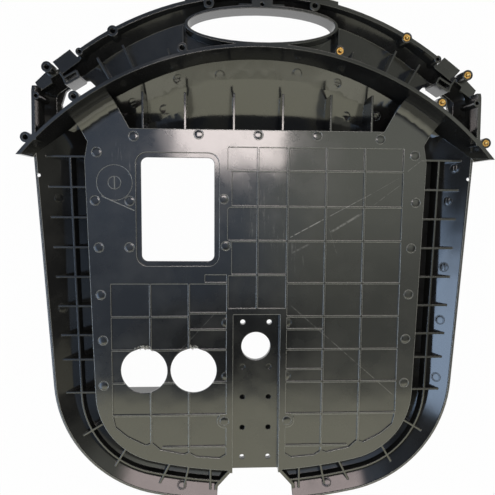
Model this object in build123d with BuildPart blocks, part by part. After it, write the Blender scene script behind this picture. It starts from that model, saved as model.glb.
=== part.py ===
from build123d import *
from math import atan2, cos, degrees, radians, sin, sqrt
import os

os.makedirs("parts", exist_ok=True)

# One half of the inner shell of an electric unicycle, lying on its outer side.
# X runs across the wheel, Y up towards the handle, Z towards the wheel.
# The origin is the centre of the axle bore on the bracket seat.

# Levels along Z
PLATE_Z = 7.5  # wheel-side face of the raised plate
MATE_Z = 30.0  # plane where this half meets the other half
BACK_Z = -25.0  # outer face of the pan's floor
RIB_Z = 3.0  # tops of the ribs in the trough
SHOULDER_Z = 0.0  # level just below the shoulder's floor at its ends
CROWN_Z = 15.5  # outer face of the shoulder's floor under the handle

# Thicknesses
WALL = 2.5
RIB = 1.5
GRID_RIB = 1.3
POCKET_DEPTH = 1.1

# Wheel arch
ARCH_R = 211.5
ARCH_TIP_Y = 139.5

# Pan round the plate
PAN_TOP_HALF = 159.0
PAN_BOTTOM_HALF = 145.8
PAN_BOTTOM_Y = -120.5
PAN_BOTTOM_R = 379.0
PAN_CORNER_R = 92.0
PAN_TOP_Y = 300.0

# Section of the pan from its rim inwards, and of the bowl under the arch: how far in, how high
PAN_SECTION = ((0.0, 5.5), (12.0, -4.0), (24.0, -11.5), (36.0, -17.5), (52.0, BACK_Z))
ARCH_SECTION = ((0.0, -8.5), (12.0, -16.5), (26.0, -22.5), (38.0, BACK_Z))
REBATE = 1.3
REBATE_DEPTH = 1.8
WALL_HOLE = (155.8, 126.8)
WALL_HOLE_R = 1.3

# Raised plate
PLATE_TOP_Y = 160.3
PLATE_TOP_HALF = 91.5
PLATE_SHOULDER_HALF = 121.0
PLATE_SHOULDER_Y = 150.7
PLATE_SIDE_HALF = 123.3
PLATE_SIDE_Y = 138.0
PLATE_FOOT_HALF = 117.8
PLATE_BOTTOM_Y = -95.0
PLATE_BOTTOM_R = 339.0
PLATE_CORNER_R = 54.0

# Straps from the plate's upper corners to the arch
STRAP_LEAN = 61.5
STRAP_R = 15.0

# Bracket channel
CHANNEL_HALF = 17.4
CHANNEL_TOP_Y = 26.0
SEAT_THICKNESS = 4.0
AXLE_R = 11.0
HOLE_X = 10.0
THROUGH_HOLES_Y = (18.7, -87.3)
BLIND_HOLES_Y = (-39.5, -63.7)
DIMPLES_Y = -15.9
DIMPLE_DEPTH = 0.8
HOLE_R = 1.9
BOSS_DEPTH = 12.0
BOSS_R = 4.5

# Window and the two round cut-outs
WINDOW_LEFT = -83.9
WINDOW_RIGHT = -31.5
WINDOW_BOTTOM = 65.6
WINDOW_TOP = 140.2
WINDOW_R = 4.5
WINDOW_STEP = 3.6
WINDOW_STEP_DEPTH = 1.4
CUTOUT_R = 17.1
CUTOUT_Y = -16.4
CUTOUTS_X = (-83.2, -46.7)

# Rib on the battery side, below the left cut-out
BACK_RIB_Y = -34.6
BACK_RIB_END_X = -66.0
BACK_RIB_DEPTH = 13.0

# Pockets in the plate's face, and the ribs between them
GRID_X = 28.2
GRID_FIRST_X = 21.8
GRID_Y = 25.0
GRID_LOW_Y = -0.5
GRID_HIGH_Y = 30.7
GRID_FOOT_Y = -81.0
GRID_TOP_Y = 148.1
GRID_UPPER_Y = 131.5
GRID_STUB_X = -38.2
GRID_STUB_FOOT_Y = 50.2
GRID_PIN = (23.7, -55.4)
GRID_PIN_R = 5.4
RIGHT_RUNGS_Y = (14.9, -15.6)
LEFT_RUNGS_Y = (27.2, 14.8)
GRID_LOWEST_X = 70.0
GRID_INNER_X = -18.7
GRID_JOGS_Y = (79.0, 82.0, 104.0, 106.0)

# Ribs in the trough
TROUGH_RIB_OFFSET = 11.3
CROSS_RIB_Y = 10.1
CROSS_RIB_PITCH = 21.75
CROSS_RIBS = 7
LOW_CROSS_RIBS_Y = (-8.4, -33.7)
GUSSETS_X = (17.6, 52.4, 82.3)
GUSSET_TOP_Y = 186.0
GUSSET_Z = 6.5

# Notch at the foot
NOTCH_TOP_HALF = 17.0
NOTCH_TOP_Y = -96.5
NOTCH_BEND_HALF = 28.5
NOTCH_BEND_Y = -109.5
NOTCH_FOOT_HALF = 31.0

# Shoulder
CROWN_R = 205.0
CROWN_TOP_Y = 246.0
CROWN_HALF = 119.4
CORNER_HALF = 150.6
CORNER_Y = 187.5
CORNER_R = 14.0
SHOULDER_FOOT_HALF = 151.5
SHOULDER_EDGE = 8.0
SHOULDER_BOW_R = 872.0
TAB_DROP = 10.0
SHOULDER_RIB_DROP = 4.0

# Handle opening
HANDLE_HALF = 50.8
HANDLE_HALF_HEIGHT = 12.9
HANDLE_Y = 225.4
HANDLE_WALL = 2.0
HANDLE_PAD_HALF = 15.3
HANDLE_PAD_Y = (236.0, 240.5)
CROWN_PAD_HALF = 7.0
CROWN_PAD_Y = (236.0, 243.0)
CROWN_BAND = 1.8
CROWN_BAND_HALF = 50.5
CROWN_BAND_DEPTH = 9.0

# Bosses that reach the mating plane
INNER_BOSSES = ((52.5, 210.0), (123.6, 177.6))
RIM_BOSSES = ((97.5, 219.6), (140.4, 196.0))
TIP_BOSS = (155.5, 150.7)
RIM_BOSS_DEPTH = 13.0
CROWN_BOSS_X = 35.0
CROWN_BOSS_Y = 238.7
CROWN_PILOT_Y = 238.6
PILOT_BOSSES = ((119.3, 206.1), (147.9, 177.5))
BOSS_OUTER_R = 3.5
PILOT_R = 2.4
PILOT_HOLE_R = 1.2

# Brass inserts
INSERT_R = 2.5
INSERT_BORE_R = 1.25
INSERT_LENGTH = 6.0
INSERT_CLEARANCE = 0.03
CLEARANCE_HOLE_R = 1.7

INSERT_NAMES = ("handle", "arch", "crown", "shoulder", "tip")

SIDES = (1, -1)
screw_bosses = [*INNER_BOSSES, *RIM_BOSSES, TIP_BOSS]


def side_outline():
    """Plan of the pan's sides and foot: a wide bottom arc and leaning sides, run on past the arch."""
    sag = PAN_BOTTOM_R - sqrt(PAN_BOTTOM_R**2 - PAN_BOTTOM_HALF**2)
    foot = (PAN_BOTTOM_HALF, PAN_BOTTOM_Y + sag)
    tip_y = sqrt((ARCH_R + WALL) ** 2 - PAN_TOP_HALF**2)
    lean = (PAN_TOP_HALF - foot[0]) / (tip_y - foot[1])
    top = (PAN_TOP_HALF + lean * (PAN_TOP_Y - tip_y), PAN_TOP_Y)
    with BuildSketch() as outline:
        with BuildLine():
            Line(top, foot)
            ThreePointArc(foot, (0, PAN_BOTTOM_Y), (-foot[0], foot[1]))
            Line((-foot[0], foot[1]), (-top[0], top[1]))
            Line((-top[0], top[1]), top)
        make_face()
        fillet(outline.vertices().group_by(Axis.Y)[0], PAN_CORNER_R)
    return outline.sketch


def plate_outline():
    """Plan of the raised plate, with its upper corners cut off under the straps."""
    sag = PLATE_BOTTOM_R - sqrt(PLATE_BOTTOM_R**2 - PLATE_FOOT_HALF**2)
    foot = (PLATE_FOOT_HALF, PLATE_BOTTOM_Y + sag)
    with BuildSketch() as outline:
        with BuildLine():
            right = Polyline(
                (PLATE_TOP_HALF, PLATE_TOP_Y),
                (PLATE_SHOULDER_HALF, PLATE_SHOULDER_Y),
                (PLATE_SIDE_HALF, PLATE_SIDE_Y),
                foot,
            )
            mirror(right, about=Plane.YZ)
            Line((-PLATE_TOP_HALF, PLATE_TOP_Y), (PLATE_TOP_HALF, PLATE_TOP_Y))
            ThreePointArc(foot, (0, PLATE_BOTTOM_Y), (-foot[0], foot[1]))
        make_face()
        fillet(outline.vertices().group_by(Axis.Y)[0], PLATE_CORNER_R)
    return outline.sketch


def shoulder_outline():
    """Plan of the shoulder: the crown arc, the cut corners and the sides."""
    crown_end = (CROWN_HALF, CROWN_TOP_Y - CROWN_R + sqrt(CROWN_R**2 - CROWN_HALF**2))
    with BuildSketch() as outline:
        with BuildLine():
            right = Polyline(crown_end, (CORNER_HALF, CORNER_Y), (SHOULDER_FOOT_HALF, ARCH_TIP_Y))
            mirror(right, about=Plane.YZ)
            ThreePointArc(crown_end, (0, CROWN_TOP_Y), (-crown_end[0], crown_end[1]))
            Line((SHOULDER_FOOT_HALF, ARCH_TIP_Y), (-SHOULDER_FOOT_HALF, ARCH_TIP_Y))
        make_face()
        fillet(outline.vertices().group_by(Axis.Y)[1], CORNER_R)
    return outline.sketch


def grown(plan, amount):
    """The same plan, wider by an amount all round, or narrower if it is negative."""
    with BuildSketch() as wider:
        add(plan)
        offset(amount=amount, kind=Kind.INTERSECTION)
    return wider.sketch


def bowl(wall):
    """The pan as a solid, or for a wall thickness the space inside it, in straight sloped steps."""
    sides = [(inset + wall, max(level + wall / 2, BACK_Z + wall)) for inset, level in PAN_SECTION]
    arch = [(inset + wall, max(level + wall / 2, BACK_Z + wall)) for inset, level in ARCH_SECTION]
    top = PLATE_Z + wall
    with BuildPart() as dish:
        with BuildSketch(Plane.XY.offset(sides[0][1])):
            add(side_plan)
            offset(amount=-wall, kind=Kind.INTERSECTION)
        extrude(amount=top - sides[0][1])
        for (inset, level), (deeper, lower) in zip(sides[:-1], sides[1:]):
            with BuildSketch(Plane.XY.offset(level)):
                add(side_plan)
                offset(amount=-inset, kind=Kind.INTERSECTION)
            extrude(amount=lower - level, taper=degrees(atan2(deeper - inset, level - lower)))
    with BuildPart() as disc:
        with BuildSketch(Plane.XZ):
            section = [(ARCH_R + WALL - inset, level) for inset, level in arch]
            Polygon((0, top), (section[0][0], top), *section, (0, section[-1][1]), align=None)
        revolve(axis=Axis.Z)
    return dish.part & disc.part


def bar(start, end, width):
    """Thin rectangle from one point to another, in the sketch being drawn."""
    start, end = Vector(*start), Vector(*end)
    run = end - start
    middle = (start + end) * 0.5
    with Locations((middle.X, middle.Y)):
        Rectangle(run.length, width, rotation=run.get_signed_angle(Vector(1, 0, 0), Vector(0, 0, -1)))


def chain(points, width):
    """Bars from each point to the next."""
    for start, end in zip(points[:-1], points[1:]):
        bar(start, end, width)


def mirrored(points, side):
    """The same points, on the right for side 1 and on the left for side -1."""
    return [(side * x, y) for x, y in points]


side_plan = side_outline()
pan_plan = side_plan & Sketch(Circle(ARCH_R + WALL, mode=Mode.PRIVATE))
plate_plan = plate_outline()
shoulder_plan = shoulder_outline()
trough_plan = pan_plan - grown(plate_plan, -WALL / 2)

# Pan: sloped skirt and floor, and the space that the ribs stand in
pan_solid = bowl(0)
pan_space = bowl(WALL)

# Ribs of the trough: one that follows the plate's edge, and ribs across it
CORNER_RIBS = (
    ((115.1, -58.4), (139.0, -73.0)),
    ((97.5, -77.1), (110.5, -99.0)),
    ((63.8, -88.0), (78.0, -116.0)),
    ((50.1, -90.0), (56.5, -119.0)),
    ((34.2, -91.0), (34.2, -121.0)),
)
cross_rows = [CROSS_RIB_Y + CROSS_RIB_PITCH * row for row in range(CROSS_RIBS)]
cross_rows += LOW_CROSS_RIBS_Y
with BuildPart() as trough_ribs:
    with BuildSketch(Plane.XY.offset(BACK_Z)) as rib_plan:
        add(grown(plate_plan, TROUGH_RIB_OFFSET + RIB / 2))
        add(grown(plate_plan, TROUGH_RIB_OFFSET - RIB / 2), mode=Mode.SUBTRACT)
        with Locations((0, cross_rows[CROSS_RIBS - 1])):
            Rectangle(
                2 * PAN_TOP_HALF, ARCH_R, align=(Align.CENTER, Align.MIN), mode=Mode.SUBTRACT
            )
        for row in cross_rows:
            bar((-PAN_TOP_HALF, row), (PAN_TOP_HALF, row), RIB)
        for start, end in CORNER_RIBS:
            for side in SIDES:
                chain(mirrored((start, end), side), RIB)
        add(trough_plan, mode=Mode.INTERSECT)
    extrude(amount=RIB_Z - BACK_Z)
    with BuildSketch(Plane.XY.offset(BACK_Z)):
        for gusset in GUSSETS_X:
            for side in SIDES:
                bar((side * gusset, PLATE_TOP_Y - WALL / 2), (side * gusset, GUSSET_TOP_Y), RIB)
    extrude(amount=GUSSET_Z - BACK_Z)
    add(pan_solid, mode=Mode.INTERSECT)

# Shoulder: a shallow dish outside the arch, its floor bowed up under the handle
with BuildPart() as shoulder_solid:
    with BuildSketch(Plane.XY.offset(SHOULDER_Z)):
        add(shoulder_plan)
    extrude(amount=MATE_Z - SHOULDER_Z)
    with BuildSketch(Plane.XZ):
        with Locations((0, CROWN_Z - SHOULDER_BOW_R)):
            Circle(SHOULDER_BOW_R)
    extrude(amount=-2 * CROWN_TOP_Y, mode=Mode.SUBTRACT)
    chamfer(shoulder_solid.faces().sort_by(Axis.Z)[0].edges(), SHOULDER_EDGE)

with BuildPart() as shoulder_space:
    with BuildSketch(Plane.XY.offset(SHOULDER_Z)):
        add(grown(shoulder_plan, -WALL))
    extrude(amount=2 * MATE_Z - SHOULDER_Z)
    with BuildSketch(Plane.XZ):
        with Locations((0, CROWN_Z - SHOULDER_BOW_R)):
            Circle(SHOULDER_BOW_R + WALL)
    extrude(amount=-2 * CROWN_TOP_Y, mode=Mode.SUBTRACT)
    chamfer(shoulder_space.faces().sort_by(Axis.Z)[0].edges(), SHOULDER_EDGE - WALL / 2)

# The rim is cut down beside the corner screws, where a tab and a lip stand out lower down
TAB = ((121.0, 203.0), (128.1, 210.0), (139.6, 201.5), (133.0, 194.0))
LIP = ((143.0, 196.0), (151.5, 188.0), (148.5, 182.0), (140.0, 188.0))
RIM_GAP = ((119.0, 198.0), (119.0, 215.0), (155.0, 215.0), (155.0, 184.0), (140.0, 184.0))
SLOT = (
    (111.0, 178.0),
    (112.5, 187.0),
    (117.5, 191.8),
    (124.0, 191.5),
    (135.0, 184.5),
    (138.0, 176.0),
    (136.5, 163.0),
)
SHOULDER_RIBS = (
    ((108.7, 203.5), (98.0, 185.0)),
    ((92.0, 212.0), (83.0, 192.0)),
    ((62.6, 210.6), (60.0, 201.0)),
)
LATTICE = ((131.0, 190.0), (122.5, 195.0), (120.5, 191.0), (129.5, 186.0), (131.0, 190.0), (133.5, 194.0))
with BuildPart() as shoulder_ribs:
    with BuildSketch(Plane.XY.offset(SHOULDER_Z)):
        for side in SIDES:
            for start, end in SHOULDER_RIBS:
                bar((side * start[0], start[1]), (side * end[0], end[1]), RIB)
            chain(mirrored(LATTICE, side), GRID_RIB)
            post_x = side * INNER_BOSSES[0][0]
            bar((post_x, HANDLE_Y), (post_x, INNER_BOSSES[0][1]), RIB)
        with Locations((0, HANDLE_PAD_Y[0])):
            Rectangle(
                2 * HANDLE_PAD_HALF,
                HANDLE_PAD_Y[1] - HANDLE_PAD_Y[0],
                align=(Align.CENTER, Align.MIN),
            )
    extrude(amount=MATE_Z - SHOULDER_RIB_DROP - SHOULDER_Z)
    with BuildSketch(Plane.XY.offset(SHOULDER_Z)):
        for side in SIDES:
            with Locations(mirrored([*INNER_BOSSES, *RIM_BOSSES], side)):
                Circle(BOSS_OUTER_R)
            with Locations(mirrored(PILOT_BOSSES, side)):
                Circle(PILOT_R)
            with Locations((side * CROWN_BOSS_X, CROWN_BOSS_Y)):
                Circle(BOSS_OUTER_R)
        with Locations((0, CROWN_PAD_Y[0])):
            Rectangle(
                2 * CROWN_PAD_HALF, CROWN_PAD_Y[1] - CROWN_PAD_Y[0], align=(Align.CENTER, Align.MIN)
            )
        with Locations((0, HANDLE_Y)):
            Ellipse(HANDLE_HALF, HANDLE_HALF_HEIGHT)
    extrude(amount=MATE_Z - SHOULDER_Z)
    add(shoulder_solid.part, mode=Mode.INTERSECT)

with BuildPart() as shoulder:
    add(shoulder_solid.part)
    add(shoulder_space.part, mode=Mode.SUBTRACT)
    for side in SIDES:
        with BuildSketch(Plane.XY.offset(MATE_Z - TAB_DROP)):
            Polygon(*mirrored(RIM_GAP, side), align=None)
        extrude(amount=TAB_DROP, mode=Mode.SUBTRACT)
        with BuildSketch(Plane.XY.offset(MATE_Z - TAB_DROP - WALL)):
            Polygon(*mirrored(TAB, side), align=None)
            Polygon(*mirrored(LIP, side), align=None)
        extrude(amount=WALL)
        with BuildSketch(Plane.XY.offset(SHOULDER_Z)):
            Polygon(*mirrored(SLOT, side), align=None)
        extrude(amount=MATE_Z - SHOULDER_Z, mode=Mode.SUBTRACT)
    with BuildSketch(Plane.XY.offset(MATE_Z)):
        with Locations((0, CROWN_TOP_Y - CROWN_R)):
            Circle(CROWN_R + CROWN_BAND)
            Circle(CROWN_R - WALL, mode=Mode.SUBTRACT)
        with Locations((0, CROWN_TOP_Y)):
            Rectangle(2 * CROWN_BAND_HALF, CROWN_R, mode=Mode.INTERSECT)
    extrude(amount=-CROWN_BAND_DEPTH)
    add(shoulder_ribs.part)
    # handle opening, an oval tube that both halves share
    with BuildSketch(Plane.XY.offset(SHOULDER_Z)):
        with Locations((0, HANDLE_Y)):
            Ellipse(HANDLE_HALF - HANDLE_WALL, HANDLE_HALF_HEIGHT - HANDLE_WALL)
    extrude(amount=MATE_Z - SHOULDER_Z, mode=Mode.SUBTRACT)
    with BuildSketch(Plane.XY.offset(SHOULDER_Z)):
        Circle(ARCH_R + WALL / 2)
    extrude(amount=MATE_Z - SHOULDER_Z, mode=Mode.SUBTRACT)

# Straps: from the plate's upper corners they sweep up the inside of the arch
with BuildPart() as straps:
    with BuildSketch(Plane.XZ):
        with Locations((ARCH_R - STRAP_R, PLATE_Z + STRAP_R)):
            Circle(STRAP_R + WALL)
            Circle(STRAP_R, mode=Mode.SUBTRACT)
            Rectangle(
                2 * STRAP_R + 4 * WALL,
                2 * STRAP_R + 4 * WALL,
                align=(Align.CENTER, Align.MIN),
                mode=Mode.SUBTRACT,
            )
            Rectangle(
                2 * STRAP_R + 4 * WALL,
                4 * STRAP_R,
                align=(Align.MAX, Align.CENTER),
                mode=Mode.SUBTRACT,
            )
        with Locations((ARCH_R - STRAP_R, PLATE_Z)):
            Rectangle(3 * STRAP_R, WALL, align=(Align.MAX, Align.MAX))
    revolve(axis=Axis.Z)
    with BuildSketch(Plane.XY.offset(PLATE_Z - WALL)):
        reach = 3 * STRAP_R
        lean = (reach * cos(radians(STRAP_LEAN)), reach * sin(radians(STRAP_LEAN)))
        band = (
            (PLATE_TOP_HALF, PLATE_TOP_Y - WALL),
            (PLATE_TOP_HALF, PLATE_TOP_Y),
            (PLATE_TOP_HALF + lean[0], PLATE_TOP_Y + lean[1]),
            (PLATE_SHOULDER_HALF + lean[0], PLATE_SHOULDER_Y + lean[1]),
            (PLATE_SHOULDER_HALF, PLATE_SHOULDER_Y),
            (PLATE_SHOULDER_HALF - WALL, PLATE_SHOULDER_Y - WALL),
        )
        for side in SIDES:
            Polygon(*mirrored(band, side), align=None)
    extrude(amount=STRAP_R + WALL, mode=Mode.INTERSECT)

# Pockets in the plate's face: two fields with a stepped lower edge, and the ribs left in them
low_rows = [GRID_LOW_Y + GRID_Y * row for row in range(-3, 3)]
high_rows = [GRID_HIGH_Y + GRID_Y * row for row in range(4)]
columns = [GRID_FIRST_X + GRID_X * column for column in range(4)]
LOW_EDGE = (
    (106.4, -50.5),
    (104.5, -59.3),
    (96.0, -66.6),
    (82.6, -73.6),
    (77.6, -71.8),
    (71.6, -77.2),
    (54.2, -81.1),
    (50.5, -79.5),
    (44.7, -83.1),
    (27.3, -84.6),
)
RIGHT_FIELD = (
    (columns[0], GRID_FOOT_Y),
    (columns[0], high_rows[0]),
    (-columns[0], high_rows[0]),
    (-columns[0], high_rows[1]),
    (GRID_INNER_X, high_rows[1]),
    (GRID_INNER_X, GRID_JOGS_Y[0]),
    (-columns[0], GRID_JOGS_Y[1]),
    (-columns[0], GRID_JOGS_Y[2]),
    (GRID_INNER_X, GRID_JOGS_Y[3]),
    (GRID_INNER_X, GRID_UPPER_Y),
    (-columns[0], GRID_UPPER_Y),
    (-columns[0], GRID_TOP_Y),
    (columns[3], GRID_TOP_Y),
    *LOW_EDGE,
)
LEFT_FIELD = (
    (-columns[0], GRID_FOOT_Y),
    (-columns[0], low_rows[5]),
    (-columns[3], low_rows[5]),
    *mirrored(LOW_EDGE, -1),
)
STUB_FIELD = (
    (GRID_STUB_X, high_rows[1]),
    (-columns[0], high_rows[1]),
    (-columns[0], GRID_STUB_FOOT_Y),
    (GRID_STUB_X, GRID_STUB_FOOT_Y),
)
with BuildSketch() as grid_ribs:
    for column in columns[:3]:
        bar((column, GRID_FOOT_Y - GRID_Y), (column, GRID_TOP_Y), GRID_RIB)
    for column in columns[:3]:
        bar((-column, GRID_FOOT_Y - GRID_Y), (-column, high_rows[1]), GRID_RIB)
    bar((0, high_rows[0]), (0, GRID_TOP_Y), GRID_RIB)
    for row in (GRID_UPPER_Y, *high_rows[2:]):
        bar((-columns[0], row), (columns[3], row), GRID_RIB)
    bar((-columns[0], high_rows[1]), (columns[0], high_rows[1]), GRID_RIB)
    for row in low_rows[1:]:
        bar((columns[0], row), (columns[3], row), GRID_RIB)
        inner = columns[1] if row == low_rows[4] else columns[0]
        bar((-columns[3], row), (-inner, row), GRID_RIB)
    for side, ladder in ((1, RIGHT_RUNGS_Y), (-1, LEFT_RUNGS_Y)):
        for row in ladder:
            bar((side * columns[0], row), (side * columns[1], row), GRID_RIB)
        bar((side * columns[0], low_rows[0]), (side * GRID_LOWEST_X, low_rows[0]), GRID_RIB)
        with Locations((side * GRID_PIN[0], GRID_PIN[1])):
            Circle(GRID_PIN_R)
with BuildPart() as pockets:
    with BuildSketch(Plane.XY.offset(PLATE_Z)):
        for field in (RIGHT_FIELD, LEFT_FIELD, STUB_FIELD):
            Polygon(*field, align=None)
        add(grid_ribs.sketch, mode=Mode.SUBTRACT)
    extrude(amount=-POCKET_DEPTH)

# Notch at the foot: what is cut away, and the wall that closes the trough beside it
NOTCH = (
    (-NOTCH_TOP_HALF, NOTCH_TOP_Y),
    (NOTCH_TOP_HALF, NOTCH_TOP_Y),
    (NOTCH_BEND_HALF, NOTCH_BEND_Y),
    (NOTCH_FOOT_HALF, 1.2 * PAN_BOTTOM_Y),
    (-NOTCH_FOOT_HALF, 1.2 * PAN_BOTTOM_Y),
    (-NOTCH_BEND_HALF, NOTCH_BEND_Y),
)
with BuildPart() as notch_wall:
    with BuildSketch(Plane.XY.offset(BACK_Z)):
        Polygon(*NOTCH, align=None)
        offset(amount=WALL, kind=Kind.INTERSECTION)
    extrude(amount=RIB_Z - BACK_Z)
    add(pan_solid, mode=Mode.INTERSECT)

# Inner shell: the whole moulding
with BuildPart() as inner_shell:
    add(pan_solid)
    add(pan_space, mode=Mode.SUBTRACT)
    with BuildSketch(Plane.XY.offset(PLATE_Z)):
        add(side_plan)
        offset(amount=-REBATE, kind=Kind.INTERSECTION, mode=Mode.SUBTRACT)
        with Locations((0, ARCH_TIP_Y)):
            Rectangle(
                2 * ARCH_R, 2 * ARCH_R, align=(Align.CENTER, Align.MIN), mode=Mode.SUBTRACT
            )
    extrude(amount=-REBATE_DEPTH, mode=Mode.SUBTRACT)
    with BuildSketch(Plane.XY.offset(BACK_Z)):
        with Locations([(side * WALL_HOLE[0], WALL_HOLE[1]) for side in SIDES]):
            Circle(WALL_HOLE_R)
    extrude(amount=PLATE_Z - BACK_Z, mode=Mode.SUBTRACT)
    add(trough_ribs.part)
    add(shoulder.part)
    with BuildSketch(Plane.XY.offset(RIB_Z)):
        Circle(ARCH_R + WALL)
        Circle(ARCH_R, mode=Mode.SUBTRACT)
        with Locations((0, ARCH_TIP_Y)):
            Rectangle(
                3 * ARCH_R, 3 * ARCH_R, align=(Align.CENTER, Align.MAX), mode=Mode.SUBTRACT
            )
    extrude(amount=MATE_Z - RIB_Z)

    # Raised plate with its side walls, hollow on the battery side
    with BuildSketch(Plane.XY.offset(BACK_Z)):
        add(plate_plan)
    extrude(amount=PLATE_Z - BACK_Z)
    with BuildSketch(Plane.XY.offset(BACK_Z)):
        add(plate_plan)
        offset(amount=-WALL)
    extrude(amount=PLATE_Z - WALL - BACK_Z, mode=Mode.SUBTRACT)
    add(straps.part)
    add(pockets.part, mode=Mode.SUBTRACT)
    with BuildSketch(Plane.XY.offset(PLATE_Z - WALL)):
        bar((-PLATE_FOOT_HALF, BACK_RIB_Y), (BACK_RIB_END_X, BACK_RIB_Y), RIB)
    extrude(amount=-BACK_RIB_DEPTH)

    # Bracket channel with its thicker seat, open at the notch in the foot
    with BuildSketch(Plane.XY.offset(-SEAT_THICKNESS)):
        with Locations((0, CHANNEL_TOP_Y + WALL)):
            Rectangle(
                2 * (CHANNEL_HALF + WALL),
                CHANNEL_TOP_Y + WALL - NOTCH_TOP_Y,
                align=(Align.CENTER, Align.MAX),
            )
    extrude(amount=PLATE_Z + SEAT_THICKNESS)
    add(notch_wall.part)
    with BuildSketch():
        with Locations((0, CHANNEL_TOP_Y)):
            Rectangle(
                2 * CHANNEL_HALF, CHANNEL_TOP_Y - PAN_BOTTOM_Y, align=(Align.CENTER, Align.MAX)
            )
    extrude(amount=2 * PLATE_Z, mode=Mode.SUBTRACT)
    with BuildSketch(Plane.XY.offset(BACK_Z)):
        Polygon(*NOTCH, align=None)
    extrude(amount=PLATE_Z - BACK_Z, mode=Mode.SUBTRACT)

    # Window with its shallow step, and the two round cut-outs
    with BuildSketch(Plane.XY.offset(PLATE_Z)):
        with Locations(((WINDOW_LEFT + WINDOW_RIGHT) / 2, (WINDOW_BOTTOM + WINDOW_TOP) / 2)):
            RectangleRounded(
                WINDOW_RIGHT - WINDOW_LEFT + 2 * WINDOW_STEP,
                WINDOW_TOP - WINDOW_BOTTOM + 2 * WINDOW_STEP,
                WINDOW_R + WINDOW_STEP,
            )
    extrude(amount=-WINDOW_STEP_DEPTH, mode=Mode.SUBTRACT)
    with BuildSketch(Plane.XY.offset(PLATE_Z - 2 * WALL)):
        with Locations(((WINDOW_LEFT + WINDOW_RIGHT) / 2, (WINDOW_BOTTOM + WINDOW_TOP) / 2)):
            RectangleRounded(
                WINDOW_RIGHT - WINDOW_LEFT, WINDOW_TOP - WINDOW_BOTTOM, WINDOW_R
            )
        with Locations([(x, CUTOUT_Y) for x in CUTOUTS_X]):
            Circle(CUTOUT_R)
    extrude(amount=4 * WALL, mode=Mode.SUBTRACT)

    # Axle bore and the bracket's holes
    with BuildSketch(Plane.XY.offset(-BOSS_DEPTH)):
        with Locations([(side * HOLE_X, y) for side in SIDES for y in BLIND_HOLES_Y]):
            Circle(BOSS_R)
    extrude(amount=BOSS_DEPTH)
    with BuildSketch():
        Circle(AXLE_R)
        with Locations([(side * HOLE_X, y) for side in SIDES for y in THROUGH_HOLES_Y]):
            Circle(HOLE_R)
    extrude(amount=-BOSS_DEPTH, mode=Mode.SUBTRACT)
    with BuildSketch():
        with Locations([(side * HOLE_X, y) for side in SIDES for y in BLIND_HOLES_Y]):
            Circle(HOLE_R)
    extrude(amount=WALL - BOSS_DEPTH, mode=Mode.SUBTRACT)
    with BuildSketch():
        with Locations([(side * HOLE_X, DIMPLES_Y) for side in SIDES]):
            Circle(HOLE_R)
    extrude(amount=-DIMPLE_DEPTH, mode=Mode.SUBTRACT)

    # Screw bosses along the rim: plain on the left half, bored for inserts on the right half
    crown_bosses = [(side * CROWN_BOSS_X, CROWN_BOSS_Y) for side in SIDES]
    rim_bosses = [*mirrored(RIM_BOSSES, 1), *mirrored(RIM_BOSSES, -1)]
    pilot_bosses = [*mirrored(PILOT_BOSSES, 1), *mirrored(PILOT_BOSSES, -1)]
    crown_pilot = (0, CROWN_PILOT_Y)
    with BuildSketch(Plane.XY.offset(MATE_Z)):
        with Locations(crown_bosses + rim_bosses):
            Circle(BOSS_OUTER_R)
        with Locations(pilot_bosses):
            Circle(PILOT_R)
        with Locations([(side * TIP_BOSS[0], TIP_BOSS[1]) for side in SIDES]):
            Circle(BOSS_OUTER_R)
        for side in SIDES:
            bar(
                (side * TIP_BOSS[0], TIP_BOSS[1]),
                (side * (TIP_BOSS[0] - 2 * BOSS_OUTER_R), TIP_BOSS[1]),
                BOSS_OUTER_R,
            )
    extrude(amount=-RIM_BOSS_DEPTH)
    with BuildSketch(Plane.XY.offset(MATE_Z)):
        with Locations(screw_bosses):
            Circle(INSERT_R + INSERT_CLEARANCE)
    extrude(amount=-INSERT_LENGTH, mode=Mode.SUBTRACT)
    with BuildSketch(Plane.XY.offset(MATE_Z)):
        with Locations(screw_bosses + mirrored(screw_bosses, -1) + crown_bosses):
            Circle(CLEARANCE_HOLE_R)
        with Locations([*pilot_bosses, crown_pilot]):
            Circle(PILOT_HOLE_R)
    extrude(amount=WALL - RIM_BOSS_DEPTH, mode=Mode.SUBTRACT)

inner_shell.part.label = "inner_shell"
export_step(inner_shell.part, "parts/inner_shell.step")

# Brass inserts: threaded rings pressed into the right-hand bosses
for name, place in zip(INSERT_NAMES, screw_bosses):
    with BuildPart() as insert:
        with BuildSketch(Plane.XY.offset(MATE_Z)):
            with Locations(place):
                Circle(INSERT_R)
                Circle(INSERT_BORE_R, mode=Mode.SUBTRACT)
        extrude(amount=-INSERT_LENGTH)
    insert.part.label = f"insert_{name}"
    export_step(insert.part, f"parts/insert_{name}.step")
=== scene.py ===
import math
import random

import bmesh
import bpy
from mathutils import Matrix, Vector
from mathutils.bvhtree import BVHTree


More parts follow.
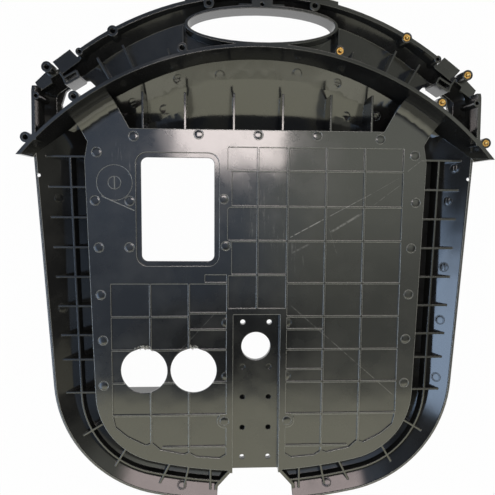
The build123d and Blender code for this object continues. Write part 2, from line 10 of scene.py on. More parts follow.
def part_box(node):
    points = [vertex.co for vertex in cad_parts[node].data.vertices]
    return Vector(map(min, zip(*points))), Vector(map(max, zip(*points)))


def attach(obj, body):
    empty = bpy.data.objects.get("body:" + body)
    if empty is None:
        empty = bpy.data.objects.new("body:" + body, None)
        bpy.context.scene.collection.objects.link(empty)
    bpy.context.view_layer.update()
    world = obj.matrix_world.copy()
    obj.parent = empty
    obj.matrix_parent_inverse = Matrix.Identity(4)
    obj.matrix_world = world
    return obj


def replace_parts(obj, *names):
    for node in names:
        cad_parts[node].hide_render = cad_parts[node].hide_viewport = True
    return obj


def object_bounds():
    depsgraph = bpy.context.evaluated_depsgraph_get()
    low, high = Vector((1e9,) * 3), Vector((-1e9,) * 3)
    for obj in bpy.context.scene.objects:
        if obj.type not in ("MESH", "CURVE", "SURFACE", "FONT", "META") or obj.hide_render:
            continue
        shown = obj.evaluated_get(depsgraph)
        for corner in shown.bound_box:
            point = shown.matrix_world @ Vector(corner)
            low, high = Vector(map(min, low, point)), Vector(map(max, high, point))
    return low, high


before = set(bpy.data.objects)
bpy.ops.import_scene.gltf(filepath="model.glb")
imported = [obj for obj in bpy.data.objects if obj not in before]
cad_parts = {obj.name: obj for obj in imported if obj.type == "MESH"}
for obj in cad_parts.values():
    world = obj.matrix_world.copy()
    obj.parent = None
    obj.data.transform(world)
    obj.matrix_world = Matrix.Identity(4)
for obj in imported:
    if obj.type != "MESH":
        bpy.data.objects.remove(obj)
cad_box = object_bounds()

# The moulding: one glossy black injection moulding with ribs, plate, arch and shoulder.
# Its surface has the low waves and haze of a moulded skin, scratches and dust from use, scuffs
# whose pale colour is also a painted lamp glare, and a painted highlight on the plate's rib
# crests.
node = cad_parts["inner_shell"]
SMOOTH_ANGLE = math.radians(28)
MERGE = 2e-6

moulding_mesh = node.data.copy()
moulding_mesh.name = "moulding"
body = bmesh.new()
body.from_mesh(moulding_mesh)
bmesh.ops.remove_doubles(body, verts=body.verts, dist=MERGE)


def level_at(section, r):
    """Height of a section, given as points of radius and height, at a radius."""
    for (r0, z0), (r1, z1) in zip(section[:-1], section[1:]):
        if r <= r1:
            return z0 + (z1 - z0) * max((r - r0) / (r1 - r0), 0.0)
    return section[-1][1]


# Under the arch the floor falls to the plate in one easy hollow, with no flat strip beside the
# plate. SKINS has its upper and its lower skin, each as (radius, height) before and after.
FLOOR_FROM_Y = 0.1595
FLOOR_TO_R = 0.2142
FLOOR_BELOW = -0.0065
FLOOR_MARGIN = 0.01
FADE_FROM, FADE_TO = 0.040, 0.096
FINE = 0.006
CUT_NEAR = 1e-6
SKINS = (
    (
        ((0.1600, -0.0225), (0.1735, -0.0225), (0.1855, -0.02125), (0.1995, -0.01525),
         (0.2115, -0.00725)),
        ((0.1603, -0.0219), (0.2000, -0.0075), (0.2115, -0.0010)),
    ),
    (
        ((0.1600, -0.0250), (0.1760, -0.0250), (0.1880, -0.0225), (0.2020, -0.0165),
         (0.2140, -0.0085)),
        ((0.1603, -0.0246), (0.2020, -0.0100), (0.2140, -0.0037)),
    ),
)
CUTS = ((0, -FADE_TO, FADE_TO), (1, FLOOR_FROM_Y + 0.5 * FINE, FLOOR_TO_R))
for axis, first, last in CUTS:
    place, way = Vector((0, 0, 0)), Vector((axis == 0, axis == 1, 0))
    for step in range(round((last - first) / FINE) + 1):
        place[axis] = first + step * FINE
        faces = [
            face for face in body.faces
            if max(vert.co.z for vert in face.verts) < FLOOR_BELOW
            and face.calc_center_median().y > FLOOR_FROM_Y - FLOOR_MARGIN
        ]
        edges = dict.fromkeys(edge for face in faces for edge in face.edges)
        verts = dict.fromkeys(vert for face in faces for vert in face.verts)
        near = [*faces, *edges, *verts]
        bmesh.ops.bisect_plane(body, geom=near, plane_co=place, plane_no=way, dist=CUT_NEAR)
for vert in body.verts:
    x, y, z = vert.co
    r = math.hypot(x, y)
    fade = min(max((FADE_TO - abs(x)) / (FADE_TO - FADE_FROM), 0.0), 1.0)
    if y > FLOOR_FROM_Y and r < FLOOR_TO_R and z < FLOOR_BELOW and fade > 0:
        before, after = min(SKINS, key=lambda skin: abs(level_at(skin[0], r) - z))
        vert.co.z += (level_at(after, r) - level_at(before, r)) * fade

for face in body.faces:
    face.smooth = True
for edge in body.edges:
    edge.smooth = len(edge.link_faces) == 2 and edge.calc_face_angle(0) < SMOOTH_ANGLE
body.to_mesh(moulding_mesh)
surface = BVHTree.FromBMesh(body)
body.free()
moulding = bpy.data.objects.new("moulding", moulding_mesh)
bpy.context.collection.objects.link(moulding)

# The plate's wall is open at the foot of the bracket channel, so its lowest holes are seen through
FOOT_LOW, FOOT_HIGH = Vector((-0.0155, -0.0975, -0.0260)), Vector((0.0155, -0.0921, -0.0042))
block = bmesh.new()
bmesh.ops.create_cube(block, size=1.0)
bmesh.ops.scale(block, verts=block.verts, vec=FOOT_HIGH - FOOT_LOW)
bmesh.ops.translate(block, verts=block.verts, vec=(FOOT_HIGH + FOOT_LOW) / 2)
block_mesh = bpy.data.meshes.new("foot block")
block.to_mesh(block_mesh)
block.free()
cutter = bpy.data.objects.new("foot block", block_mesh)
bpy.context.collection.objects.link(cutter)
cut = moulding.modifiers.new("open foot", "BOOLEAN")
cut.operation = "DIFFERENCE"
cut.solver = "EXACT"
cut.object = cutter
ready = moulding.evaluated_get(bpy.context.evaluated_depsgraph_get())
moulding_mesh = bpy.data.meshes.new_from_object(ready)
moulding_mesh.name = "moulding"
moulding.modifiers.remove(cut)
moulding.data = moulding_mesh
bpy.data.objects.remove(cutter)

EVEN_WEIGHT = 100
even = moulding.modifiers.new("even normals", "WEIGHTED_NORMAL")
even.mode = "FACE_AREA"
even.weight = EVEN_WEIGHT
even.keep_sharp = True
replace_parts(moulding, "inner_shell")
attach(moulding, "root")


class Shade:
    """One socket of a finish, so that the sums of the finish read as plain expressions."""

    def __init__(self, tree, socket):
        self.tree = tree
        self.socket = socket

    def node(self, kind, settings=None, sockets=None, output=0):
        """Any node of the finish: its type, its settings, then its sockets' values or links."""
        made = self.tree.nodes.new(kind)
        for key, value in (settings or {}).items():
            setattr(made, key, value)
        for key, value in (sockets or {}).items():
            if isinstance(value, Shade):
                self.tree.links.new(value.socket, made.inputs[key])
            else:
                made.inputs[key].default_value = value
        return Shade(self.tree, made.outputs[output])

    def sum_of(self, operation, *terms):
        settings = {"operation": operation, "use_clamp": False}
        return self.node("ShaderNodeMath", settings, dict(enumerate(terms)))

    def __add__(self, other):
        return self.sum_of("ADD", self, other)

    __radd__ = __add__

    def __sub__(self, other):
        return self.sum_of("SUBTRACT", self, other)

    def __rsub__(self, other):
        return self.sum_of("SUBTRACT", other, self)

    def __mul__(self, other):
        return self.sum_of("MULTIPLY", self, other)

    __rmul__ = __mul__

    def __truediv__(self, other):
        return self.sum_of("DIVIDE", self, other)

    def larger(self, other):
        return self.sum_of("MAXIMUM", self, other)

    def smaller(self, other):
        return self.sum_of("MINIMUM", self, other)

    def size(self):
        return self.sum_of("ABSOLUTE", self)

    def rise(self, low, high):
        """Goes smoothly from 0 at low to 1 at high."""
        settings = {"interpolation_type": "SMOOTHSTEP"}
        sockets = {"Value": self, "From Min": low, "From Max": high}
        return self.node("ShaderNodeMapRange", settings, sockets)

    def mottle(self, scale, detail=3.0, roughness=0.55, stretch=(1.0, 1.0, 1.0), turn=0.0):
        """Noise on the piece's own coordinates, scale in marks per metre."""
        sockets = {"Vector": self, "Scale": stretch, "Rotation": (0.0, 0.0, turn)}
        laid = self.node("ShaderNodeMapping", None, sockets)
        sockets = {"Vector": laid, "Scale": scale, "Detail": detail, "Roughness": roughness}
        return self.node("ShaderNodeTexNoise", None, sockets)

    def blend(self, first, second):
        """Colour that goes from the first to the second as this value goes from 0 to 1."""
        settings = {"data_type": "RGBA"}
        return self.node("ShaderNodeMix", settings, {0: self, 6: first, 7: second}, output=2)


def finish(name):
    """A new finish: its material, its main shader and the piece's own coordinates."""
    material = bpy.data.materials.new(name)
    material.use_nodes = True
    tree = material.node_tree
    main = tree.nodes["Principled BSDF"]
    place = Shade(tree, tree.nodes.new("ShaderNodeTexCoord").outputs["Object"])
    return material, main, place


def connect(main, **sockets):
    """Links varying values to the main shader's sockets."""
    for key, value in sockets.items():
        value.tree.links.new(value.socket, main.inputs[key.replace("_", " ")])


# shares of a scratch's width and half length over which it is at full strength
LINE_CORE, LINE_ENDS = 0.35, 0.85


def scratch(place, start, end, width, broken):
    """1 on a thin straight line between two points of the plate, and 0 elsewhere."""
    start, end = Vector(start), Vector(end)
    run = (end - start).normalized()
    middle, half = (start + end) / 2, (end - start).length / 2
    parts = {axis: place.node("ShaderNodeSeparateXYZ", None, {0: place}, axis) for axis in (0, 1)}
    x, y = parts[0] - middle.x, parts[1] - middle.y
    along = x * run.x + y * run.y
    across = x * run.y - y * run.x
    line = 1.0 - across.size().rise(width * LINE_CORE, width)
    ends = 1.0 - along.size().rise(half * LINE_ENDS, half)
    return line * ends * broken


# The gloss: heights on the plate, colours, marks per metre of each noise, roughness and depths
PLATE_FACE = 0.0075
GRID_REACH = 0.0012
POCKET = 0.0011
# painted highlight on the plate's rib crests: its share, its pale colour and the turn of the
# rounded normal over which it comes in
CREST_HIGHLIGHT_SHARE = 0.90
CREST_HIGHLIGHT = (0.52, 0.53, 0.49, 1.0)
CREST_HIGHLIGHT_TURN = (0.004, 0.10)
PLASTIC_IOR = 1.55
COAT = {"Coat IOR": 1.5, "Coat Roughness": 0.06, "Coat Weight": 0.25}
BREAKS, FIBRES, DUST, HAZES, WAVES, SKIN = 420.0, 60.0, 900.0, 28.0, 22.0, 1500.0
ROUGH_CLEAN, ROUGH_HAZE, ROUGH_DUST, ROUGH_MARKS = 0.10, 0.09, 0.10, 0.35
HAZE_SHARE, DUST_SHARE, SCUFF_AND_GLARE_SHARE = 0.35, 0.25, 0.60
EDGE_R = 0.00065
WAVE_DEPTH, WAVE_SHARE = 0.0022, 0.25
SKIN_DEPTH, SKIN_SHARE = 0.00006, 0.10
BLACK = (0.016, 0.0165, 0.0165, 1.0)
HAZE = (0.052, 0.052, 0.048, 1.0)
# pale colour of scratches and scuffs; over the middle of the plate it is also a painted glare of
# the lamp
SCUFF_AND_GLARE = (0.30, 0.30, 0.28, 1.0)
SCRATCHES = (
    ((0.0235, 0.0830), (0.0494, 0.0971), 0.00050, 1.0),
    ((0.0494, 0.0971), (0.0850, 0.1163), 0.00036, 0.6),
    ((0.0845, 0.1160), (0.1042, 0.1274), 0.00030, 0.25),
    ((0.0526, 0.0864), (0.0775, 0.1016), 0.00110, 0.55),
    ((0.0848, 0.1068), (0.1051, 0.1223), 0.00036, 0.3),
    ((0.0250, 0.0716), (0.0387, 0.0786), 0.00090, 0.3),
    ((0.0247, 0.0332), (0.0552, 0.0065), 0.00050, 0.28),
    ((0.0552, 0.0065), (0.1063, -0.0382), 0.00042, 0.36),
    ((-0.0290, 0.0290), (-0.0610, -0.0060), 0.00040, 0.22),
    ((0.0525, 0.0905), (0.0589, 0.0713), 0.00040, 0.22),
    ((0.1092, 0.1318), (0.1193, 0.1399), 0.00045, 0.40),
    ((0.1193, 0.1399), (0.1222, 0.1399), 0.00045, 0.40),
)
# scuffs, as centre and reach: the three on the left are swirl wear; the five in the middle are
# worn skin whose pale colour is also a painted lamp glare
SCUFF_AND_GLARE_SPOTS = (
    ((-0.1015, 0.1440), 0.011),
    ((-0.0920, 0.1380), 0.010),
    ((-0.0990, 0.1180), 0.014),
    ((0.0250, 0.0700), 0.016),
    ((0.0050, 0.1130), 0.024),
    ((-0.0020, 0.0960), 0.022),
    ((0.0160, 0.0840), 0.018),
    ((-0.0140, 0.1260), 0.014),
)

plastic, main, place = finish("glossy black moulding")
main.inputs["IOR"].default_value = PLASTIC_IOR
for key, value in COAT.items():
    main.inputs[key].default_value = value
height = place.node("ShaderNodeSeparateXYZ", None, {0: place}, 2)
on_plate = 1.0 - (height - PLATE_FACE).size().rise(GRID_REACH, 1.6 * GRID_REACH)
broken = place.mottle(BREAKS, 4.0).rise(0.30, 0.62)
marks_and_glare = None
for start, end, width, strength in SCRATCHES:
    line = scratch(place, start, end, width, broken) * strength
    marks_and_glare = line if marks_and_glare is None else marks_and_glare.larger(line)
fibres = place.mottle(FIBRES, 6.0, 0.75, stretch=(9.0, 1.0, 1.0), turn=0.5).rise(0.55, 0.78)
# pale fibrous scuffs round each spot: wear, and in the middle of the plate also a painted lamp
# glare
for (x, y), reach in SCUFF_AND_GLARE_SPOTS:
    sockets = {0: place, 1: (x, y, PLATE_FACE)}
    away = place.node("ShaderNodeVectorMath", {"operation": "DISTANCE"}, sockets, output=1)
    marks_and_glare = marks_and_glare.larger((1.0 - away.rise(0.2 * reach, reach)) * fibres * SCUFF_AND_GLARE_SHARE)
marks_and_glare = marks_and_glare * on_plate
dust = place.mottle(DUST, 5.0, 0.7).rise(0.60, 0.80)
haze = place.mottle(HAZES, 5.0, 0.6).rise(0.38, 0.72)
colour = (HAZE_SHARE * haze + DUST_SHARE * dust).blend(BLACK, HAZE)
soft = place.node("ShaderNodeBevel", {"samples": 8}, {"Radius": EDGE_R})
plain = place.node("ShaderNodeNewGeometry", None, None, "Normal")
settings = {"operation": "DOT_PRODUCT"}
turn = 1.0 - soft.node("ShaderNodeVectorMath", settings, {0: soft, 1: plain}, output=1)
at_face = 1.0 - (height - PLATE_FACE).size().rise(0.4 * POCKET, 0.6 * POCKET)
# painted highlight: at the plate's face height, where the rounded edge normal turns away from the
# face, the base colour is lightened to stand for the light that the rib crests catch
painted_crest_highlight = turn.rise(*CREST_HIGHLIGHT_TURN) * at_face
# scratches and scuffs take the pale colour, which over the middle of the plate is also painted
# glare
colour = marks_and_glare.blend(colour, SCUFF_AND_GLARE)
colour = (painted_crest_highlight * CREST_HIGHLIGHT_SHARE).blend(colour, CREST_HIGHLIGHT)
rough = ROUGH_CLEAN + ROUGH_HAZE * haze + ROUGH_DUST * dust + ROUGH_MARKS * marks_and_glare
waves = place.mottle(WAVES, 2.0, 0.4)
skin = place.mottle(SKIN, 2.0, 0.5)
sockets = {"Height": waves, "Strength": WAVE_SHARE, "Distance": WAVE_DEPTH, "Normal": soft}
wavy = place.node("ShaderNodeBump", None, sockets)
sockets = {"Height": skin, "Strength": SKIN_SHARE, "Distance": SKIN_DEPTH, "Normal": wavy}
grained = place.node("ShaderNodeBump", None, sockets)
connect(main, Base_Color=colour, Roughness=rough, Normal=grained)
moulding_mesh.materials.clear()
moulding_mesh.materials.append(plastic)

# Ejector marks: small round witness marks that the mould's pins left on the plate and the walls.
# Each is a low ring with a faintly domed disc in it, part of the moulding's own skin.
PIN_R = 0.0035
PLATE_PINS = (
    (0.0887, 0.1549), (0.0427, 0.1568), (0.1147, 0.1435), (0.1165, 0.1093), (0.1143, 0.0756),
    (0.1136, 0.0410), (0.1126, 0.0071), (0.1127, -0.0270), (0.0226, 0.0200), (0.0225, -0.0209),
    (0.0237, -0.0554),
)
LEFT_PINS = (
    (-0.0920, 0.1091), (-0.0925, 0.0758), (-0.0246, 0.1110), (-0.0231, 0.0770), (0.0, 0.1568),
)
WALL_PINS = (
    (0.1478, 0.1353), (0.1440, 0.1109), (0.1430, 0.0608), (0.1415, 0.0200), (0.1400, -0.0250),
    (-0.0918, 0.1814), (-0.0581, 0.1976), (-0.0277, 0.2010), (0.0287, 0.2030), (0.0586, 0.1969),
    (0.0915, 0.1750), (-0.0691, 0.1775), (0.0681, 0.1747), (-0.1440, 0.1109), (-0.1425, 0.0300),
    (0.0560, -0.1080), (-0.0560, -0.1080),
)
PIN_PROFILE = (
    (0.0, 0.00015), (0.25, 0.000145), (0.50, 0.00012), (0.70, 0.000075), (0.86, 0.00001),
    (0.90, -0.00004), (0.94, 0.00014), (1.0, 0.00017), (1.06, 0.00010), (1.08, -0.0003),
    (0.0, -0.0003),
)
TWO_BARS = (
    (-0.0918, 0.1814), (-0.0581, 0.1976), (0.0915, 0.1750), (0.0586, 0.1969),
    (0.1478, 0.1353), (0.1440, 0.1109), (0.1430, 0.0608),
)
BAR = (0.0046, 0.0007, 0.0003)
BAR_APART = 0.0021
PIN_STEPS, RING_STEPS, FINE_STEPS = 40, 48, 72
DROP = 0.2
SEAM = 1e-7
SHARP = math.radians(60)


def seat(x, y, top=0.028):
    """Where a vertical line meets the moulding, and the way its skin faces there."""
    spot, way, _, _ = surface.ray_cast(Vector((x, y, top)), Vector((0, 0, -1)), DROP)
    return spot, way


def turned(profile, steps):
    """A closed turned piece about Z from a profile of radius and height."""
    made = bmesh.new()
    line = [made.verts.new((r, 0.0, z)) for r, z in profile]
    edges = [made.edges.new(pair) for pair in zip(line[:-1], line[1:])]
    bmesh.ops.spin(
        made, geom=line + edges, cent=(0, 0, 0), axis=(0, 0, 1),
        angle=math.tau, steps=steps, use_merge=True,
    )
    bmesh.ops.remove_doubles(made, verts=made.verts, dist=SEAM)
    bmesh.ops.recalc_face_normals(made, faces=made.faces)
    return made


def add_to(whole, piece, matrix):
    """Copies a piece into a whole at its place, and frees it."""
    piece.transform(matrix)
    loose = bpy.data.meshes.new("loose")
    piece.to_mesh(loose)
    piece.free()
    whole.from_mesh(loose)
    bpy.data.meshes.remove(loose)


def show(name, whole, material, angle=SMOOTH_ANGLE):
    """Makes the finished mesh a piece that rides with the shell."""
    mesh = bpy.data.meshes.new(name)
    for face in whole.faces:
        face.smooth = True
    for edge in whole.edges:
        edge.smooth = len(edge.link_faces) == 2 and edge.calc_face_angle(0) < angle
    whole.to_mesh(mesh)
    whole.free()
    mesh.materials.append(material)
    piece = bpy.data.objects.new(name, mesh)
    bpy.context.collection.objects.link(piece)
    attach(piece, "root")
    return piece


pins = bmesh.new()
places = [(side * x, y) for x, y in PLATE_PINS for side in (1, -1)]
for x, y in [*places, *LEFT_PINS, *WALL_PINS]:
    spot, way = seat(x, y)
    if spot is None:
        continue
    profile = [(share * PIN_R, z) for share, z in PIN_PROFILE]
    laid = Matrix.Translation(spot) @ way.to_track_quat("Z", "Y").to_matrix().to_4x4()
    add_to(pins, turned(profile, PIN_STEPS), laid)
    if (x, y) in TWO_BARS:
        for side in (1, -1):
            strip = bmesh.new()
            bmesh.ops.create_cube(strip, size=1.0)
            bmesh.ops.scale(strip, verts=strip.verts, vec=BAR)
            shift = (0, side * BAR_APART / 2, BAR[2] / 3)
            bmesh.ops.translate(strip, verts=strip.verts, vec=shift)
            add_to(pins, strip, laid)
show("ejector_marks", pins, plastic, angle=SHARP)

# Moulded mark and drill burrs: a faint dial stands on the plate's upper left corner, without
# figures. The two round cut-outs were drilled by hand, and torn pale chips of plastic hang on
# their upper edges.
DIAL = (-0.1025, 0.1221)
DIAL_RINGS = (0.0126, 0.0045)
DIAL_LINE = 0.00032
DIAL_TOP, DIAL_ROOT, DIAL_THICK = 0.00016, -0.0002, 0.0004
DIAL_BARS = (
    ((-0.1025, 0.1262), (-0.1025, 0.1180)),
    ((-0.1117, 0.1125), (-0.0887, 0.1023)),
)
dial = bmesh.new()
for ring in DIAL_RINGS:
    profile = (
        (ring - DIAL_LINE, DIAL_ROOT), (ring - 0.4 * DIAL_LINE, DIAL_TOP),
        (ring + 0.4 * DIAL_LINE, DIAL_TOP), (ring + DIAL_LINE, DIAL_ROOT),
        (ring - DIAL_LINE, DIAL_ROOT),
    )
    add_to(dial, turned(profile, FINE_STEPS), Matrix.Translation((*DIAL, PLATE_FACE)))
for start, end in DIAL_BARS:
    run = Vector(end) - Vector(start)
    middle = (Vector(start) + Vector(end)) / 2
    strip = bmesh.new()
    bmesh.ops.create_cube(strip, size=1.0)
    bmesh.ops.scale(strip, verts=strip.verts, vec=(run.length, 2 * DIAL_LINE, DIAL_THICK))
    turn = Matrix.Rotation(math.atan2(run.y, run.x), 4, "Z")
    add_to(dial, strip, Matrix.Translation((middle.x, middle.y, PLATE_FACE)) @ turn)
show("moulded_dial", dial, plastic, angle=SHARP)

CUTOUT_R = 0.0171
# centre, span of angles and number of chips of each cut-out
CUTOUTS = (((-0.0832, -0.0164), (62, 118), 30), ((-0.0467, -0.0164), (78, 112), 12))
CHIP_SIZE = (0.00025, 0.0008)
CHIP_RAGGED = (0.55, 1.35)
CHIP_SPREAD = 0.0024
CHIP_TILT = 1.0
CHIP_FLAT = (1.9, 0.8, 0.45, 1.0)
TORN_DARK, TORN_PALE = (0.10, 0.10, 0.09, 1.0), (0.62, 0.62, 0.56, 1.0)
TORN_SPOTS, TORN_ROUGH, TORN_UNEVEN = 1400.0, 0.55, 0.3
torn, main, place = finish("torn plastic")
main.inputs["IOR"].default_value = PLASTIC_IOR
fray = place.mottle(TORN_SPOTS, 3.0).rise(0.30, 0.70)
rough = TORN_ROUGH + TORN_UNEVEN * fray
connect(main, Base_Color=fray.blend(TORN_DARK, TORN_PALE), Roughness=rough)
draw = random.Random(5)
chips = bmesh.new()
for (x, y), (start, end), number in CUTOUTS:
    for _ in range(number):
        angle = math.radians(draw.triangular(start, end))
        away = CUTOUT_R + draw.uniform(0.0, CHIP_SPREAD)
        size = draw.uniform(*CHIP_SIZE)
        chip = bmesh.new()
        bmesh.ops.create_icosphere(chip, subdivisions=1, radius=size)
        for vert in chip.verts:
            vert.co *= draw.uniform(*CHIP_RAGGED)
        spin = Matrix.Rotation(draw.uniform(0, math.tau), 4, "Z")
        spin = spin @ Matrix.Rotation(draw.uniform(0, CHIP_TILT), 4, "X")
        flat = Matrix.Diagonal(CHIP_FLAT)
        spot = (x + away * math.cos(angle), y + away * math.sin(angle), PLATE_FACE)
        add_to(chips, chip, Matrix.Translation(spot) @ spin @ flat)
show("drill_burrs", chips, torn)

# Brass inserts: threaded rings that are pressed hot into the bosses of the right half.
# Each has a turned face with a chamfered mouth and an M3 thread cut in its bore.
INSERTS = ("handle", "arch", "crown", "shoulder", "tip")
THREAD_PITCH = 0.0005
THREAD_DEPTH = 0.00022
THREAD_STEPS = 24
CHAMFER = 0.0003
BORE_R = 0.00125
BRASS, BRASS_STAIN = (0.72, 0.44, 0.14, 1.0), (0.42, 0.24, 0.07, 1.0)
BRASS_SPOTS, BRASS_ROUGH, BRASS_UNEVEN = 700.0, 0.28, 0.2

brass, main, place = finish("turned brass")
main.inputs["Metallic"].default_value = 1.0
stain = place.mottle(BRASS_SPOTS, 3.0).rise(0.35, 0.75)
rough = BRASS_ROUGH + BRASS_UNEVEN * stain
connect(main, Base_Color=stain.blend(BRASS, BRASS_STAIN), Roughness=rough)

for name in INSERTS:
    node_name = f"insert_{name}"
    low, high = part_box(node_name)
    centre = (low + high) / 2
    outer, bore = (high.x - low.x) / 2, BORE_R
    length = high.z - low.z
    profile = (
        (bore + CHAMFER, length), (outer - CHAMFER, length), (outer, length - CHAMFER),
        (outer, CHAMFER), (outer - CHAMFER, 0.0), (bore, 0.0), (bore, length - CHAMFER),
        (bore + CHAMFER, length),
    )
    ring = turned(profile, RING_STEPS)
    turns = int((length - 3 * CHAMFER) / THREAD_PITCH)
    thread = bmesh.new()
    ridge = [
        thread.verts.new((bore + r * THREAD_DEPTH, 0.0, THREAD_PITCH * z))
        for r, z in ((0.5, 0.5), (0.5, 1.4), (-1.0, 0.95))
    ]
    cross = thread.faces.new(ridge)
    climb = (0, 0, THREAD_PITCH / THREAD_STEPS)
    bmesh.ops.spin(
        thread, geom=[cross], cent=(0, 0, 0), axis=(0, 0, 1), dvec=climb,
        angle=math.tau * turns, steps=turns * THREAD_STEPS,
    )
    bmesh.ops.recalc_face_normals(thread, faces=thread.faces)
    add_to(ring, thread, Matrix.Identity(4))
    ring.transform(Matrix.Translation((centre.x, centre.y, low.z)))
    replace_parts(show(f"brass_{name}", ring, brass), node_name)

# Floor: a plain white sheet that the shell lies on. To the camera and in the gloss it is nearly
# pure white, as in the photograph, and it sends the room's light back up to the shell.
FLOOR_HALF = 4.0
WHITE_SHARE = 0.98
WHITE = (1.0, 1.0, 1.0, 1.0)
PAPER, PAPER_ROUGH = (0.82, 0.82, 0.82, 1.0), 0.9
low = cad_box[0]
sheet = bmesh.new()
bmesh.ops.create_grid(sheet, x_segments=1, y_segments=1, size=FLOOR_HALF)
bmesh.ops.translate(sheet, verts=sheet.verts, vec=(0, 0, low.z))
floor_mesh = bpy.data.meshes.new("floor")
sheet.to_mesh(floor_mesh)
sheet.free()
floor = bpy.data.objects.new("floor", floor_mesh)
bpy.context.collection.objects.link(floor)
paper, main, place = finish("white paper")
main.inputs["Base Color"].default_value = PAPER
main.inputs["Roughness"].default_value = PAPER_ROUGH
RAYS = ("Is Camera Ray", "Is Glossy Ray", "Is Transmission Ray")
rays = [place.node("ShaderNodeLightPath", None, None, key) for key in RAYS]
glow = place.node("ShaderNodeEmission", None, {"Color": WHITE, "Strength": 1.0})
seen = (rays[0] + rays[1] + rays[2]).smaller(1.0) * WHITE_SHARE
lit = Shade(place.tree, main.outputs[0])
mixed = place.node("ShaderNodeMixShader", None, {0: seen, 1: lit, 2: glow})
place.tree.links.new(mixed.socket, place.tree.nodes["Material Output"].inputs[0])
floor_mesh.materials.append(paper)

# Studio light: a pale room round the shell, a lamp overhead and soft panels on three sides.
# The room is what the gloss mirrors, so its tones follow the ones in the photographed surfaces.
world = bpy.data.worlds.new("studio")
bpy.context.scene.world = world
world.use_nodes = True
room = world.node_tree
back = room.nodes["Background"]
way = Shade(room, room.nodes.new("ShaderNodeTexCoord").outputs["Generated"])
x, y, z = (way.node("ShaderNodeSeparateXYZ", None, {0: way}, axis) for axis in (0, 1, 2))
across, along = x / z.larger(0.05), y / z.larger(0.05)


def towards(direction, start, full):
    """0 away from a direction of the room, rising to 1 round it."""
    aim = Vector(direction).normalized()
    return (x * aim.x + y * aim.y + z * aim.z).rise(start, full)


def oval(at, half):
    """Squared distance from a spot of the ceiling: 1 on the rim of an oval round it."""
    aside, ahead = (across - at[0]) / half[0], (along - at[1]) / half[1]
    return aside * aside + ahead * ahead


def scaled(colour, by):
    """A colour of the room times a value."""
    return way.node("ShaderNodeVectorMath", {"operation": "SCALE"}, {0: colour, 3: by})


# Colours and places in the room, on a ceiling one metre up: across to the right, along to the head
CEILING_LEFT, CEILING_RIGHT = (0.74, 0.93, 1.26, 1.0), (1.00, 1.03, 0.89, 1.0)
LEVEL, LEVEL_RIGHT, LEVEL_HEAD, LEVEL_CORNER = 0.30, 0.22, 0.38, 0.50
DARK_AT, DARK_HALF, DARK_SHARE = (0.02, -0.29), (0.24, 0.12), 0.88
EAST_SHARE, WEST_SHARE, BEAM_SHARE = 0.92, 0.60, 0.60
FOOT_WALL = (2.10, 2.06, 1.60, 1.0)
LOW_SHARE = 0.24
SIDE_WINDOW, SIDE_WINDOW_AT = (1.9, 2.6, 3.7, 1.0), (-0.62, -0.30, 0.72)
HEAD_WINDOW = (5.2, 4.4, 4.3, 1.0)
HEAD_WINDOW_AT, HEAD_WINDOW_HALF = (0.26, 1.00), (0.52, 0.27)
DIFFUSE = (0.36, 0.36, 0.36, 1.0)

# the ceiling, lighter to the right and the head, and dark over the bracket
head = along.rise(-0.26, 0.10)
right = across.rise(-0.05, 0.20)
ceiling = right.blend(CEILING_LEFT, CEILING_RIGHT)
level = LEVEL + LEVEL_RIGHT * right + head * (LEVEL_HEAD + LEVEL_CORNER * right)
shade = 1.0 - DARK_SHARE * (1.0 - oval(DARK_AT, DARK_HALF).rise(0.15, 1.0))
# its dark sides, and a dark beam across it past the plate's head
east = across.rise(0.40, 0.62) * (1.0 - along.rise(0.0, 0.30))
west = (0.0 - across).rise(0.38, 0.52)
beam = along.rise(0.15, 0.23) * (1.0 - along.rise(0.42, 0.60))
sides = (1.0 - EAST_SHARE * east) * (1.0 - WEST_SHARE * west) * (1.0 - BEAM_SHARE * beam)
tone = scaled(ceiling, level * shade * sides)
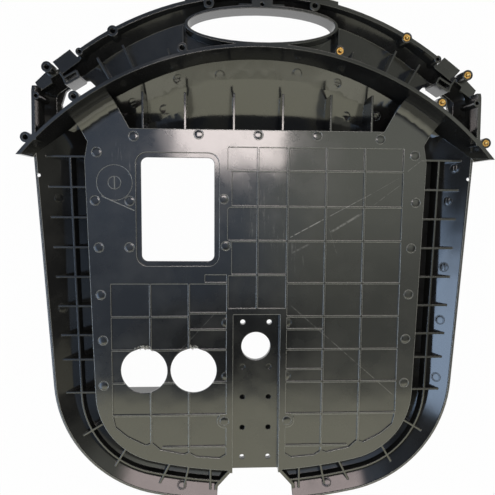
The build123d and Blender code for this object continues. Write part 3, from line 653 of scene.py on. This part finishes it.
# a pale wall at the foot, dark walls low down, and two windows
foot = (0.0 - along).rise(0.382, 0.412)
tone = foot.blend(tone, FOOT_WALL)
tone = scaled(tone, LOW_SHARE + (1.0 - LOW_SHARE) * z.rise(0.55, 0.86))
tone = towards(SIDE_WINDOW_AT, 0.91, 0.97).blend(tone, SIDE_WINDOW)
head_window = (1.0 - oval(HEAD_WINDOW_AT, HEAD_WINDOW_HALF).rise(0.45, 1.0)) * z.rise(0.1, 0.3)
tone = head_window.blend(tone, HEAD_WINDOW)
camera_ray = way.node("ShaderNodeLightPath", None, None, "Is Camera Ray")
glossy_ray = way.node("ShaderNodeLightPath", None, None, "Is Glossy Ray")
tone = glossy_ray.blend(DIFFUSE, tone)
tone = camera_ray.blend(tone, WHITE)
room.links.new(tone.socket, back.inputs["Color"])

PANELS = (
    ("lamp", (0.004, 0.330, 1.50), (0.40, 0.20), 13.5, (1.0, 0.89, 0.85)),
    ("window_side", (-1.60, -0.50, 1.10), (1.00, 0.90), 2.0, (0.62, 0.78, 1.0)),
    ("head_side", (0.25, 1.70, 0.80), (1.20, 0.60), 1.6, (1.0, 0.93, 0.90)),
    ("foot_side", (0.30, -1.50, 1.20), (1.20, 0.70), 1.2, (1.0, 0.98, 0.82)),
)
for name, spot, (width, depth), radiance, colour in PANELS:
    panel = bpy.data.lights.new(name, "AREA")
    panel.shape = "RECTANGLE"
    panel.size, panel.size_y = width, depth
    panel.energy = radiance * math.pi * width * depth
    panel.color = colour
    lamp = bpy.data.objects.new(name, panel)
    lamp.location = spot
    lamp.rotation_euler = Vector(spot).to_track_quat("Z", "Y").to_euler()
    bpy.context.collection.objects.link(lamp)

# Camera: looks down on the shell from above the upper part of its plate.
# Its place, turn and lens were solved from marks that the photograph and the shell share.
CAMERA_PLACE = (-0.0261, 0.1112, 0.3805)
CAMERA_RIGHT = (0.9987, 0.0078, 0.0497)
CAMERA_UP = (-0.0031, 0.9955, -0.0943)
LENS = 37.38
lens = bpy.data.cameras.new("camera")
lens.lens = LENS
lens.clip_start = 0.01
camera = bpy.data.objects.new("camera", lens)
right = Vector(CAMERA_RIGHT).normalized()
upward = Vector(CAMERA_UP)
upward = (upward - right * upward.dot(right)).normalized()
facing = Matrix((right, upward, right.cross(upward))).transposed().to_4x4()
camera.matrix_world = Matrix.Translation(CAMERA_PLACE) @ facing
bpy.context.collection.objects.link(camera)
bpy.context.scene.camera = camera
bpy.context.scene.view_settings.view_transform = "Standard"
